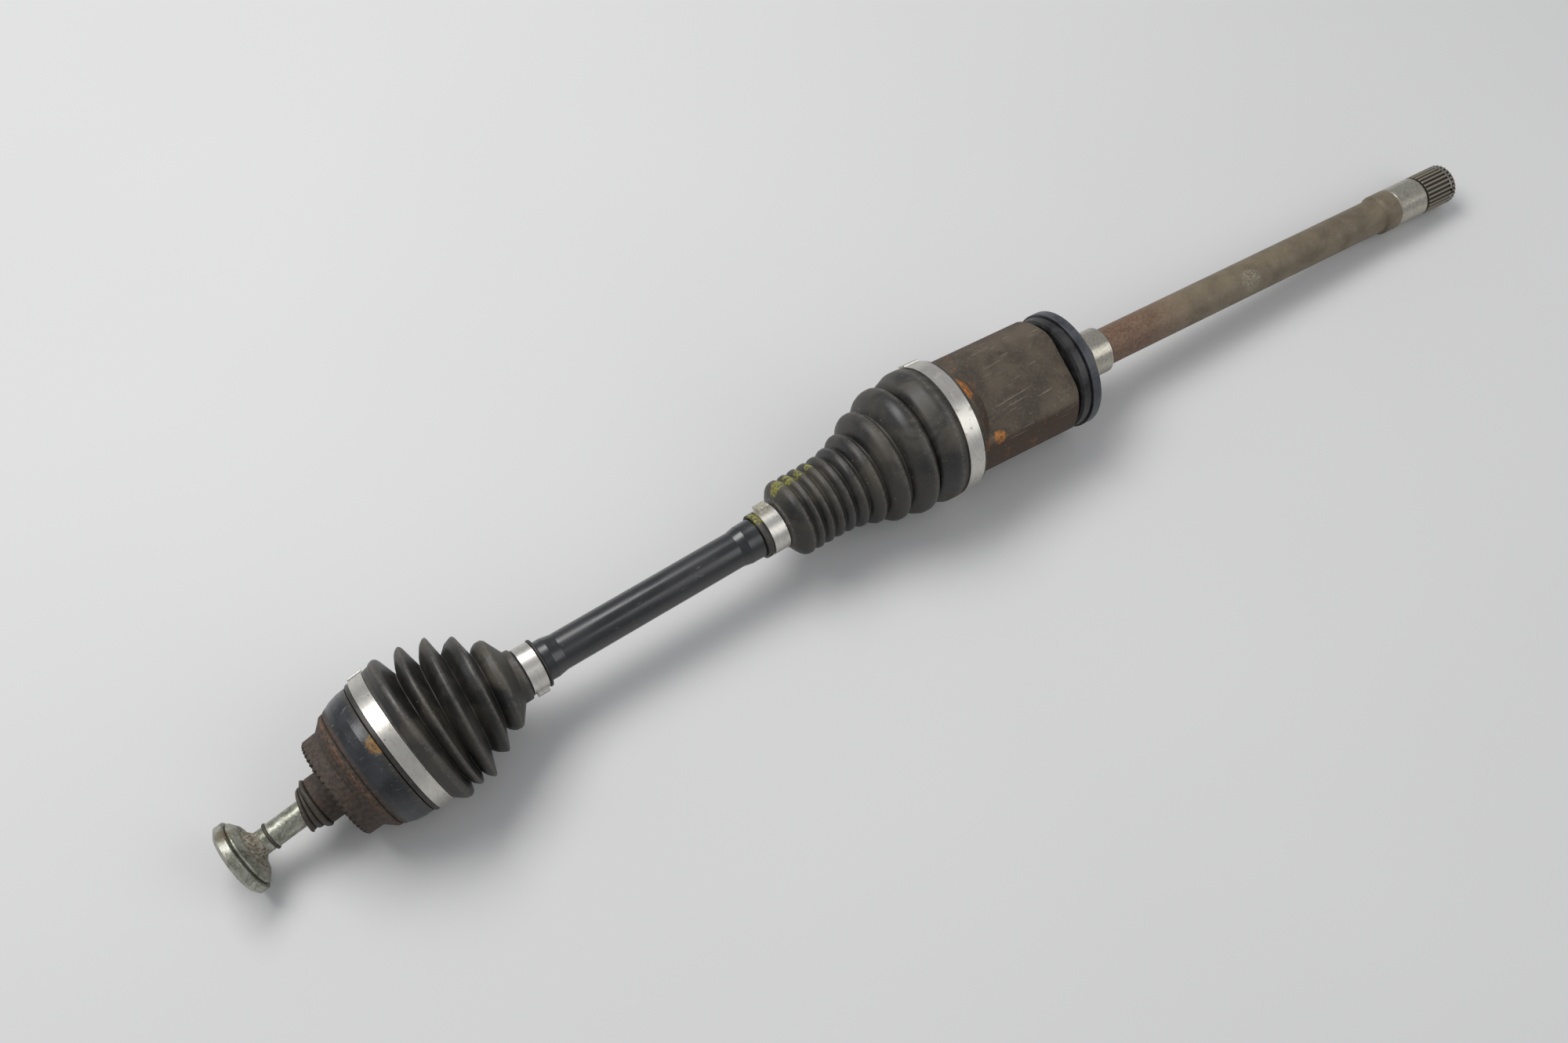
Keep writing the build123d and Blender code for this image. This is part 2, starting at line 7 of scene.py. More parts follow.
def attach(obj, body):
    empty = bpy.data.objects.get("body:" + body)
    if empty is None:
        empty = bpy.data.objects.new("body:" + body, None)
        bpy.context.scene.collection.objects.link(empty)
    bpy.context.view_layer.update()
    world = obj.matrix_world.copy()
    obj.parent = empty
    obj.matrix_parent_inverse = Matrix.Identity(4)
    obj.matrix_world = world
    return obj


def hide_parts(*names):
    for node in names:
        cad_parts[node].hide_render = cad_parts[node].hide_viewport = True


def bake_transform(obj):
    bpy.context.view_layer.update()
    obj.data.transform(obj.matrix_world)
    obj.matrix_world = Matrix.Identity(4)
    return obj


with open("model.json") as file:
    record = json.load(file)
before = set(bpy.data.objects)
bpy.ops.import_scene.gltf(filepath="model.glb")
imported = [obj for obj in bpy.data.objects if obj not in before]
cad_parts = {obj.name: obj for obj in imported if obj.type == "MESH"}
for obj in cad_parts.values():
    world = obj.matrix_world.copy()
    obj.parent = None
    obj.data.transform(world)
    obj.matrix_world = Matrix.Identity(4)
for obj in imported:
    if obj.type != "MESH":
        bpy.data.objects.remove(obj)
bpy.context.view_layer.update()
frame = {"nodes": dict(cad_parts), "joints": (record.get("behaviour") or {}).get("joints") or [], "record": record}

MM = 0.001

# Layout of the shaft, in millimetres: centres and axes from the frame's joints and mounts
joints = {joint["name"]: joint for joint in frame["joints"]}
mounts = {mount["name"]: mount for mount in frame["record"]["mounts"]}
WHEEL_CENTRE = Vector(joints["outer_bend"]["pos_m"]) / MM
BAR_SPAN, BAR_RISE = 441.0, math.radians(0.279)
bar_axis = Vector((math.cos(BAR_RISE), 0, math.sin(BAR_RISE)))
wheel_axis = -Vector(mounts["pilot_nose"]["axis"])
tulip_axis = Vector(joints["plunge"]["axis"])
wheel_hinge = -bar_axis.cross(wheel_axis).normalized()
tulip_hinge = bar_axis.cross(tulip_axis).normalized()
wheel_bend = bar_axis.angle(wheel_axis)
tulip_bend = bar_axis.angle(tulip_axis)
spider_centre = WHEEL_CENTRE + bar_axis * BAR_SPAN

# The tulip leans about the middle of its first roller, so its axis passes beside the spider's centre
ROLLER_OUT = 26.5
first_roller = Vector(joints["inner_bend"]["pos_m"]) / MM
tulip_centre = first_roller - Vector(joints["roller_1_spin"]["axis"]) * ROLLER_OUT

# Rubber of the boots: wall of each, how far a fold's line runs on past its foot to cross its
# neighbour's, and width of the pale line on a crest, painted as wear and as a highlight
OUTER_WALL, INNER_WALL = 1.7, 1.6
FOLD_TUCK, CREST_LINE_WIDTH = 9, 1.3

# Steps of a boot's mesh: once round, along a side of a fold, and round a corner of its line
ROUND_STEPS, FOLD_STEPS, CORNER_STEPS = 144, 14, 5

# Stations from the wheel joint's centre: where the bar's paint is rubbed, the housing's edges of
# paint and of olive dirt, its lip, and the bolt's cone and groove
BAR_RUBS = (104, 120), (246, 262)
PAINT_EDGE, OLIVE_EDGE, LIP = (-11.5, -8.5), (1.5, 6.0), (-17.4, -14.2)
BOLT_CONE, BOLT_GROOVE = (-88.0, -80.0), -92.3

# Stations from the tulip's centre: where rust by the clamp fades, where the cup ends, where the
# shaft's red fades, its two ground seats, the start of its teeth, and the dust ring's rim
CLAMP_RUST_FADE, CUP_END, RED_FADE = (-26, -10), (98, 101), (115, 190)
NEAR_SEAT, FAR_SEAT, TEETH_START = (80.5, 99.0), (374.6, 401.0), (401.0, 402.2)
RING_RIM = (58.7, 59.2)

# Distances from the tulip's axis between which its teeth turn from dark to pale
TOOTH_RISE = (13.3, 14.5)

# Yellow marks on the inner boot's first folds, all on one side of it: station from the wheel joint,
# distance out and size
MARKS_SIDE = Vector((0, 0.56, 0.828))
MARKS = (279, 24.5, 6), (285, 25.0, 6), (293, 25.5, 6), (301, 25.5, 5), (309, 25.5, 3.5)

# Places of single stains: on the inner boot's small cuff and its clamp, on the bell, on the bolt's
# head, twice on the cup by the large clamp, and on the tulip's shaft
CUFF_MARK = WHEEL_CENTRE + bar_axis * 263 + Vector((0, 6, 14))
CLAMP_MARK = WHEEL_CENTRE + bar_axis * 270 + Vector((0, 10, 16))
BELL_STAIN = WHEEL_CENTRE + wheel_axis * -1.5 + Vector((0, -12.5, 41.5))
BOLT_STAIN = WHEEL_CENTRE + wheel_axis * -98 + Vector((0, 8, 21))
CUP_STAIN = tulip_centre + tulip_axis * -27 + Vector((0, -4, 40))
LOW_CUP_STAIN = tulip_centre + tulip_axis * -27 + Vector((9, -36, 18))
SHAFT_MARK = tulip_centre + tulip_axis * 227 + Vector((0, -8, 9.5))


# Bellows
def rounded(points):
    """Dense line of (x, r) through corners given as (x, r, corner radius)."""
    line = []
    for i, (x, r, radius) in enumerate(points):
        p = Vector((x, r))
        if i in (0, len(points) - 1) or radius == 0:
            line.append(p)
            continue
        a = Vector(points[i - 1][:2]) - p
        b = Vector(points[i + 1][:2]) - p
        half = a.angle(b) / 2
        cut = min(radius / math.tan(half), a.length * 0.48, b.length * 0.48)
        a.normalize()
        b.normalize()
        centre = p + (a + b).normalized() * (cut / math.cos(half))
        start, end = p + a * cut - centre, p + b * cut - centre
        turn = start.angle_signed(end)
        for k in range(CORNER_STEPS + 1):
            c, s = math.cos(turn * k / CORNER_STEPS), -math.sin(turn * k / CORNER_STEPS)
            line.append(centre + Vector((start.x * c - start.y * s, start.x * s + start.y * c)))
    return line


def fold(rise, crest_r, foot_r, back, back_r, blunt=1.5, full=1.0):
    """Front and back line of one fold, parted at its crest: long rounded front, steep back.

    Rise and back are the lengths of the two sides along the axis. The radii are at the crest, at the
    front's foot and at the back's. Blunt is the width of the crest, and full makes the front rounder.
    """
    height = crest_r - foot_r
    front = rounded([
        (-rise, foot_r - FOLD_TUCK, 0),
        (-rise, foot_r, 1),
        (-0.66 * rise * full, foot_r + 0.52 * height, 8),
        ((-0.30 * rise - 0.3 * blunt) * full, crest_r - 0.14 * height, 5),
        (-0.5 * blunt, crest_r - 0.15, 1.2),
        (0.5 * blunt, crest_r, 0),
    ])
    behind = rounded([
        (0.5 * blunt, crest_r, 0),
        (blunt, crest_r - 0.9, 0.8),
        (blunt + back, back_r, 1),
        (blunt + back, back_r - FOLD_TUCK, 0),
    ])
    return front, behind


def places(origin, along, hinge, bend, start, end, side):
    """Gives places on the line that turns from a joint housing's axis to the bar's axis.

    It turns between the start and end stations. A place is a centre, an axis and the two
    directions across it.
    """
    up = along.cross(hinge)

    def place(station, aside=0.0, twist=0.0):
        t = min(max((abs(station) - start) / (end - start), 0), 1)
        share = t * t * (3 - 2 * t)
        lean = bend * (1 - share)
        centre = origin + along * (station * (share + (1 - share) * math.cos(bend)))
        centre += up * (abs(station) * (1 - share) * math.sin(bend)) + hinge * aside
        axis = along * math.cos(lean) + up * math.sin(lean) * side
        upright = axis.cross(hinge)
        twist = math.radians(twist)
        swung = axis * math.cos(twist) + hinge * math.sin(twist)
        return centre, swung, hinge * math.cos(twist) - axis * math.sin(twist), upright
    return place


def laid(place, line, angle):
    """A line of (x, r) points laid on a place, at an angle round its axis."""
    centre, axis, across, upright = place
    out = across * math.cos(angle) + upright * math.sin(angle)
    return [centre + axis * x + out * r for x, r in line]


def meeting(before, after, axis, out):
    """Where one line of points first crosses the next: index and share on each."""
    a_line = [Vector((p.dot(axis), p.dot(out))) for p in before]
    c_line = [Vector((p.dot(axis), p.dot(out))) for p in after]
    for i, (a, b) in enumerate(zip(a_line, a_line[1:])):
        for j in reversed(range(len(c_line) - 1)):
            c, d = c_line[j], c_line[j + 1]
            across = (b - a).cross(d - c)
            if abs(across) < 1e-9:
                continue
            t = (c - a).cross(d - c) / across
            u = (c - a).cross(b - a) / across
            if 0 <= t <= 1 and 0 <= u <= 1:
                return i, t, j, u
    raise ValueError("two neighbouring folds don't meet")


def spread(line, count):
    """This many points evenly along a line of points, with both ends."""
    reach = [0.0]
    for a, b in zip(line, line[1:]):
        reach.append(reach[-1] + (b - a).length)
    points, i = [], 0
    for k in range(count):
        target = reach[-1] * k / (count - 1)
        while i < len(line) - 2 and reach[i + 1] < target:
            i += 1
        share = (target - reach[i]) / max(reach[i + 1] - reach[i], 1e-9)
        points.append(line[i].lerp(line[i + 1], min(max(share, 0), 1)))
    return points


def meridian(stages, angle):
    """Points of the bellows at one angle, and which of them are crests and valleys."""
    points, crests, valleys = [], [], []
    front = laid(stages[0][0], stages[0][1], angle)
    for number, (place, _, behind) in enumerate(stages):
        points += front if number == 0 else spread(front, FOLD_STEPS)[1:]
        crests.append(len(points) - 1)
        behind = laid(place, behind, angle)
        if number + 1 == len(stages):
            points += behind[1:]
            break
        following = stages[number + 1]
        front = laid(following[0], following[1], angle)
        axis = (place[1] + following[0][1]).normalized()
        out = behind[0] - place[0]
        out = (out - axis * out.dot(axis)).normalized()
        i, t, j, u = meeting(behind, front, axis, out)
        valley = (behind[i].lerp(behind[i + 1], t) + front[j].lerp(front[j + 1], u)) / 2
        points += spread(behind[:i + 1] + [valley], FOLD_STEPS)[1:]
        valleys.append(len(points) - 1)
        front = [valley] + front[j + 1:]
    return points, crests, valleys


def linked(name, data):
    """A new object with this mesh, lamp or camera, in the scene."""
    made = bpy.data.objects.new(name, data)
    bpy.context.scene.collection.objects.link(made)
    return made


def wrapped(name, verts, segments):
    """Smooth mesh of rings of points, each ring joined to the next and the last to the first."""
    rings = len(verts) // segments
    faces = []
    for i in range(rings):
        here, there = i * segments, (i + 1) % rings * segments
        faces += [(here + k, there + k, there + (k + 1) % segments, here + (k + 1) % segments)
                  for k in range(segments)]
    mesh = bpy.data.meshes.new(name)
    mesh.from_pydata([tuple(v) for v in verts], [], faces)
    mesh.polygons.foreach_set("use_smooth", [True] * len(mesh.polygons))
    return mesh


def bellows(names, stages, wall, part_after=()):
    """Rubber shells of leaning folds that meet in valleys, one for each name, parted at some valleys.

    All meridians have the same number of points, with crests and valleys at the same ones.
    """
    rows, inner = [], []
    for k in range(ROUND_STEPS):
        points, crests, valleys = meridian(stages, 2 * math.pi * k / ROUND_STEPS)
        rows.append(points)
    for k, points in enumerate(rows):
        beside = rows[(k + 1) % ROUND_STEPS]
        moved = []
        for i, p in enumerate(points):
            along = points[min(i + 1, len(points) - 1)] - points[max(i - 1, 0)]
            moved.append(p + along.cross(beside[i] - p).normalized() * wall)
        inner.append(moved)
    ends = [0] + [valleys[i] for i in part_after] + [len(rows[0]) - 1]
    shells = []
    for name, first_row, last_row in zip(names, ends, ends[1:]):
        span = list(range(first_row, last_row + 1))
        verts, crest_wear_and_highlight = [], []
        for source, order in ((rows, span), (inner, span[::-1])):
            for i in order:
                for points in source:
                    near = min((points[i] - points[c]).length for c in crests)
                    verts.append(points[i] * MM)
                    # Weight of the pale crest line, painted as wear and as a highlight
                    crest_wear_and_highlight.append(math.exp(-(near / CREST_LINE_WIDTH) ** 2))
        mesh = wrapped(name, verts, ROUND_STEPS)
        mesh.attributes.new("crest", "FLOAT", "POINT").data.foreach_set("value", crest_wear_and_highlight)
        mesh.update()
        shell = linked(name, mesh)
        shells.append(shell)
    return shells


# Outer boot: large cuff, five leaning folds and a stepped small cuff
FIRST_FOLD, FIRST_SHIFT = 26.4, 1.6
on_wheel = (WHEEL_CENTRE, wheel_axis, wheel_hinge, wheel_axis.cross(wheel_hinge))
from_wheel = (WHEEL_CENTRE, bar_axis, wheel_hinge, bar_axis.cross(wheel_hinge))
outer_place = places(WHEEL_CENTRE, bar_axis, wheel_hinge, wheel_bend, start=28, end=70, side=1)
on_first = (WHEEL_CENTRE + wheel_axis * FIRST_FOLD - wheel_hinge * FIRST_SHIFT, *on_wheel[1:])
large_cuff = (
    rounded([
        (6.4, 42.1, 0), (6.4, 44.5, 0.5), (9.1, 44.5, 0.4),
        (9.2, 43.9, 0.2), (18.7, 43.9, 0.2), (18.95, 45.0, 0),
    ]),
    rounded([(18.95, 45.0, 0), (22.5, 45.7, 1), (25.5, 44.5, 1), (26.0, 36, 0)]),
)
first_fold = (
    rounded([(-7.6, 36, 0), (-6.6, 44.6, 1), (-2.0, 48.0, 4), (0, 48.5, 0)]),
    rounded([(0, 48.5, 0), (1.4, 48.4, 1.0), (2.8, 47.2, 1.5), (8.1, 29, 1), (8.1, 20, 0)]),
)
small_cuff = (
    [Vector(p) for p in ((80, 8), (80, 16.9), (90, 16.7))],
    rounded([
        (90, 16.7, 0), (91.0, 16.6, 0.3), (92.2, 14.35, 0.4), (103.3, 14.35, 0.3),
        (103.6, 15.8, 0.6), (105.2, 15.6, 0.5), (105.2, 12.2, 0),
    ]),
)
# For each further fold its station, shift along the hinge, twist in degrees and shape
outer_stages = [(on_wheel, *large_cuff), (on_first, *first_fold)] + [
    (outer_place(station, aside, twist), *shape) for station, aside, twist, shape in (
        (39.2, -1.0, -3.9, fold(9.5, 46.4, 29, 5.0, 26)),
        (51.1, -1.4, -5.8, fold(10.5, 45.3, 26, 5.5, 22, 1.5, 1.05)),
        (64.8, 2.0, -4.0, fold(12.5, 37.6, 21, 6.0, 17, 1.5, 1.25)),
        (76.8, 1.0, -4.4, fold(12.0, 28.6, 15, 7.0, 16.4, 3.4)),
    )
] + [(from_wheel, *small_cuff)]
outer_boot, = bellows(["outer_boot_skin"], outer_stages, OUTER_WALL)
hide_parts("outer_boot")

# Inner boot: small cuff, nine folds growing towards the tulip and a rolled large cuff
on_bar = (spider_centre, bar_axis, tulip_hinge, bar_axis.cross(tulip_hinge))
on_tulip = (tulip_centre, tulip_axis, tulip_hinge, tulip_axis.cross(tulip_hinge))
inner_place = places(spider_centre, bar_axis, tulip_hinge, tulip_bend, start=48, end=112, side=-1)
inner_stages = [(
    on_bar,
    rounded([(-180.8, 12.2, 0), (-180.8, 14.9, 0.5), (-177.6, 15.0, 0.5), (-176.1, 14.35, 0.3),
             (-164.7, 14.35, 0.3), (-163.4, 17.0, 0.5), (-162.9, 17.0, 0)]),
    [Vector(p) for p in ((-162.9, 17.0), (-162.6, 17.0), (-162.6, 8))],
)] + [
    (inner_place(station), *shape) for station, shape in (
        (-154.8, fold(8.0, 25.7, 17.0, 3.0, 21.5, 2.6)),
        (-147.0, fold(4.4, 25.7, 21.5, 3.0, 21.3, 1.6)),
        (-139.6, fold(4.4, 25.8, 21.5, 3.2, 21.3, 1.6)),
        (-131.8, fold(4.8, 25.9, 21.5, 3.4, 21.3, 1.7)),
        (-123.8, fold(5.0, 26.3, 21.5, 3.6, 21.5, 1.8)),
        (-114.8, fold(6.0, 27.8, 21.5, 4.0, 22.5, 2.0, 1.05)),
        (-104.0, fold(7.4, 31.5, 22.5, 4.4, 24.5, 2.4, 1.08)),
        (-90.2, fold(10.2, 38.0, 25, 5.6, 29, 3.2, 1.12)),
        (-72.2, fold(13.5, 43.4, 30, 6.4, 34.5, 4.0, 1.12)),
    )
] + [(
    on_tulip,
    rounded([(-68, 24, 0), (-68, 34, 1), (-64, 41.4, 3.0), (-55, 45.2, 4.0), (-51, 45.2, 0)]),
    rounded([(-51, 45.2, 0), (-48.8, 45.2, 1.5), (-45.8, 43.75, 0.4), (-33.6, 43.75, 0.3),
             (-33.4, 44.2, 0.3), (-32.2, 44.0, 0.3), (-32.2, 41.9, 0)]),
)]
inner_names = ["inner_boot_folds", "inner_boot_cuff"]
inner_boot, inner_cuff = bellows(inner_names, inner_stages, INNER_WALL, part_after=(9,))
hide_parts("inner_boot")


# Seal on the end of the nose: three beads on a sleeve that leans and narrows
SEAL_START, SEAL_END, SEAL_SHIFT = 45.4, 51.6, 0.6
SEAL_SKEW, SEAL_LEAN = math.radians(27), math.radians(-14)
SEAL_R, SEAL_NARROWING = 14.15, 2.75
SEAL_BEADS = ((0.0, 1.7), (0.52, 1.25), (1.0, 1.6))
SEAL_STEPS, BEAD_STEPS = 120, 12


def seal_line():
    """Line of (share of the sleeve's length, radius): over the three beads and back along the bore.

    A bead is given by its share of the length and its radius, and is an arc of 1.3 half turns.
    """
    line = [(-0.05, 13.0), (-0.22, 14.4)]
    for middle, bead in SEAL_BEADS:
        for k in range(BEAD_STEPS + 1):
            angle = math.pi * (k / BEAD_STEPS * 1.3 - 0.15)
            radius = SEAL_R - SEAL_NARROWING * middle + bead * math.sin(angle)
            line.append((middle - 0.25 * bead / 1.6 * math.cos(angle), radius))
    return line + [(1.2, 11.2), (1.1, 10.3), (0.6, 11.2), (0.2, 12.6)]


def nose_sleeve():
    """The seal: its line turned round an axis that swings from the nose's own to a leaning one."""
    up = wheel_axis.cross(wheel_hinge)
    across = wheel_hinge * math.cos(SEAL_SKEW) + up * math.sin(SEAL_SKEW)
    out = wheel_axis * math.cos(SEAL_LEAN) + across * math.sin(SEAL_LEAN)
    aside = across * math.cos(SEAL_LEAN) - wheel_axis * math.sin(SEAL_LEAN)
    start = WHEEL_CENTRE - wheel_axis * SEAL_START
    end = WHEEL_CENTRE - wheel_axis * SEAL_END + across * SEAL_SHIFT
    verts = []
    for share, radius in seal_line():
        swung = min(max(share, 0), 1)
        middle = start.lerp(end, share)
        one = wheel_hinge.lerp(aside, swung)
        two = up.lerp(out.cross(aside), swung)
        last_bead = share > 1.05 and radius > 11
        for k in range(SEAL_STEPS):
            a = 2 * math.pi * k / SEAL_STEPS
            wave = 0.12 * math.sin(5 * a + 3 * share) + 0.10 * math.sin(13 * a + 7 * share)
            nub = 0.9 * max(0, math.sin(31 * a)) ** 8 if last_bead and 1.6 < a < 3.6 else 0
            verts.append((middle + (one * math.cos(a) + two * math.sin(a)) * (radius + wave + nub)) * MM)
    sleeve = linked("nose_seal_skin", wrapped("nose_seal_skin", verts, SEAL_STEPS))
    sleeve.data.flip_normals()
    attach(sleeve, "wheel_side")
    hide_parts("nose_seal")
    return sleeve


nose_seal = nose_sleeve()


# Materials
def linear(r, g, b):
    """Colour of a shader from its screen values, 0 to 255."""
    def one(c):
        c /= 255
        return c / 12.92 if c <= 0.04045 else ((c + 0.055) / 1.055) ** 2.4
    return (one(r), one(g), one(b), 1)


class Paint:
    """Small helper that adds shader nodes to one material."""

    def __init__(self, name, roughness=0.6, metallic=0.0, specular=0.5):
        self.mat = bpy.data.materials.new(name)
        self.mat.use_nodes = True
        self.tree = self.mat.node_tree
        self.shader = self.tree.nodes["Principled BSDF"]
        self.shader.inputs["Roughness"].default_value = roughness
        self.shader.inputs["Metallic"].default_value = metallic
        self.shader.inputs["Specular IOR Level"].default_value = specular
        coords = self.node("ShaderNodeTexCoord")
        self.mm = self.vector("SCALE", coords.outputs["Object"], scale=1 / MM)
        self.normal = coords.outputs["Normal"]

    def node(self, kind):
        return self.tree.nodes.new(kind)

    def put(self, socket, value):
        """Links an output to a socket, or sets the socket to a number, vector or colour."""
        if isinstance(value, bpy.types.NodeSocket):
            self.tree.links.new(value, socket)
        elif isinstance(value, (tuple, Vector)) and len(socket.default_value) == 4 and len(value) == 3:
            socket.default_value = (*value, 1)
        else:
            socket.default_value = value

    def vector(self, how, a, b=None, scale=None):
        """Vector maths of this kind, a number where the kind gives one."""
        n = self.node("ShaderNodeVectorMath")
        n.operation = how
        self.put(n.inputs[0], a)
        if b is not None:
            self.put(n.inputs[1], b)
        if scale is not None:
            self.put(n.inputs["Scale"], scale)
        return n.outputs["Value"] if how in ("DOT_PRODUCT", "LENGTH", "DISTANCE") else n.outputs["Vector"]

    def math(self, how, a, b=0.0, clamp=False):
        n = self.node("ShaderNodeMath")
        n.operation = how
        n.use_clamp = clamp
        for socket, value in zip(n.inputs, (a, b)):
            self.put(socket, value)
        return n.outputs[0]

    def times(self, a, b):
        return self.math("MULTIPLY", a, b)

    def plus(self, a, b):
        return self.math("ADD", a, b)

    def most(self, a, b):
        return self.math("MAXIMUM", a, b)

    def inverse(self, mask):
        return self.math("SUBTRACT", 1.0, mask)

    def noise(self, size, detail=4.0, rough=0.55, warp=0.0, offset=(0, 0, 0), stretch=None):
        """Noise with features about this many millimetres across."""
        place = self.vector("ADD", self.mm, tuple(float(v) for v in offset))
        if stretch is not None:
            place = self.vector("MULTIPLY", place, stretch)
        n = self.node("ShaderNodeTexNoise")
        self.put(n.inputs["Vector"], place)
        n.inputs["Scale"].default_value = 1 / size
        n.inputs["Detail"].default_value = detail
        n.inputs["Roughness"].default_value = rough
        n.inputs["Distortion"].default_value = warp
        return n.outputs["Fac"]

    def step(self, value, low, high):
        """0 below low, 1 above high, smooth between."""
        n = self.node("ShaderNodeMapRange")
        n.interpolation_type = "SMOOTHSTEP"
        self.put(n.inputs["Value"], value)
        n.inputs["From Min"].default_value = low
        n.inputs["From Max"].default_value = high
        return n.outputs["Result"]

    def span(self, value, low, high, soft):
        """1 from low to high, 0 outside, with soft ends."""
        start = self.step(value, low - soft, low + soft)
        return self.times(start, self.inverse(self.step(value, high - soft, high + soft)))

    def mix(self, factor, a, b):
        """From colour a to colour b."""
        n = self.node("ShaderNodeMix")
        n.data_type = "RGBA"
        n.clamp_factor = True
        self.put(n.inputs[0], factor)
        self.put(n.inputs[6], a)
        self.put(n.inputs[7], b)
        return n.outputs[2]

    def over(self, base, mask, amount, colour):
        """The base with a colour laid over it, where and as strongly as mask times amount."""
        return self.mix(self.times(mask, amount), base, colour)

    def blend(self, factor, a, b):
        """From number a to number b."""
        n = self.node("ShaderNodeMix")
        n.data_type = "FLOAT"
        self.put(n.inputs[0], factor)
        self.put(n.inputs[2], a)
        self.put(n.inputs[3], b)
        return n.outputs[0]

    def along(self, origin, axis):
        """Station along an axis, in millimetres."""
        return self.vector("DOT_PRODUCT", self.vector("SUBTRACT", self.mm, tuple(origin)), tuple(axis))

    def off(self, origin, axis):
        """Distance from an axis, in millimetres."""
        foot = self.vector("SCALE", tuple(axis), scale=self.along(origin, axis))
        rel = self.vector("SUBTRACT", self.mm, tuple(origin))
        return self.vector("LENGTH", self.vector("SUBTRACT", rel, foot))

    def wander(self, station, cloudy, reach):
        """A station moved to and fro by cloudy noise, for a ragged border."""
        return self.plus(station, self.times(self.math("SUBTRACT", cloudy, 0.5), reach))

    def spot(self, place, size):
        """Mask round a point, with a ragged edge."""
        d = self.vector("DISTANCE", self.mm, tuple(place))
        d = self.plus(d, self.times(self.noise(size * 0.5, 5, 0.65), -size * 0.9))
        return self.inverse(self.step(d, size * 0.25, size * 0.65))

    def facing(self, direction, low, high):
        """Mask of what faces this way."""
        return self.step(self.vector("DOT_PRODUCT", self.normal, direction), low, high)

    def bump(self, height, strength, distance):
        """Bumps of the height's shape, at most this many millimetres high."""
        n = self.node("ShaderNodeBump")
        n.inputs["Strength"].default_value = strength
        n.inputs["Distance"].default_value = distance * MM
        self.put(n.inputs["Height"], height)
        self.put(self.shader.inputs["Normal"], n.outputs["Normal"])

    def colour(self, value):
        self.put(self.shader.inputs["Base Color"], value)

    def roughness(self, value):
        self.put(self.shader.inputs["Roughness"], value)

    def metallic(self, value):
        self.put(self.shader.inputs["Metallic"], value)


def boot_rubber():
    """Worn black rubber: dust on top, pale crests painted as wear and as a highlight, and yellow marks on the
    inner boot's first folds.
    """
    p = Paint("boot_rubber", 0.5)
    crest_wear_and_highlight = p.node("ShaderNodeAttribute")
    crest_wear_and_highlight.attribute_name = "crest"
    crest_wear_and_highlight = crest_wear_and_highlight.outputs["Fac"]
    cloudy = p.noise(24, 5, 0.6, 0.4)
    fine = p.noise(2.2, 6, 0.7)
    grain = p.noise(0.7, 3, 0.6)
    base = p.mix(p.step(cloudy, 0.35, 0.68), linear(31, 30, 29), linear(50, 47, 42))
    dust = p.times(p.facing((0, 0, 1), 0.1, 0.95), p.step(cloudy, 0.42, 0.66))
    base = p.over(base, dust, 0.34, linear(92, 84, 70))
    streak = p.step(p.noise(5, 6, 0.7, 0.6, offset=(40, 0, 0)), 0.58, 0.74)
    base = p.over(base, streak, 0.28, linear(98, 88, 72))
    # Pale line along the crests: partly wear, partly a painted highlight
    edge = p.times(crest_wear_and_highlight, p.step(fine, 0.30, 0.66))
    base = p.over(base, edge, 0.42, linear(112, 107, 99))
    flecks = p.step(p.noise(1.2, 2, 0.5, offset=(0, 90, 0)), 0.71, 0.77)
    base = p.over(base, flecks, 0.6, linear(168, 158, 140))
    marks = p.spot(CUFF_MARK, 7)
    for station, out, size in MARKS:
        place = WHEEL_CENTRE + bar_axis * station + MARKS_SIDE * out
        marks = p.most(marks, p.spot(place, size))
    marks = p.times(marks, p.step(p.noise(1.7, 5, 0.75, offset=(0, 8, 0)), 0.46, 0.55))
    base = p.over(base, marks, 0.85, linear(142, 140, 50))
    p.colour(base)
    p.roughness(p.blend(p.step(cloudy, 0.35, 0.7), 0.40, 0.60))
    p.bump(p.plus(fine, p.times(grain, 0.5)), 0.22, 0.22)
    return p


def steel_band():
    """Brushed bright band of a clamp, with brown dirt and the same yellow marks."""
    p = Paint("band_steel", 0.3, 0.95)
    brushed = p.noise(1.6, 4, 0.6, stretch=(1.0, 0.25, 0.25))
    stain = p.noise(7, 6, 0.65, 0.6)
    base = p.mix(brushed, linear(176, 172, 164), linear(216, 213, 206))
    dirt = p.step(stain, 0.55, 0.72)
    base = p.over(base, dirt, 0.6, linear(122, 110, 88))
    specks = p.step(p.noise(1.6, 3, 0.6, offset=(5, 60, 9)), 0.66, 0.72)
    base = p.over(base, specks, 0.8, linear(84, 66, 44))
    marks = p.spot(CLAMP_MARK, 8)
    marks = p.times(marks, p.step(p.noise(1.7, 5, 0.75), 0.46, 0.56))
    base = p.over(base, marks, 0.75, linear(134, 126, 56))
    p.colour(base)
    p.metallic(p.blend(p.most(dirt, marks), 0.95, 0.35))
    p.roughness(p.blend(dirt, 0.33, 0.58))
    p.bump(p.plus(brushed, stain), 0.10, 0.2)
    return p


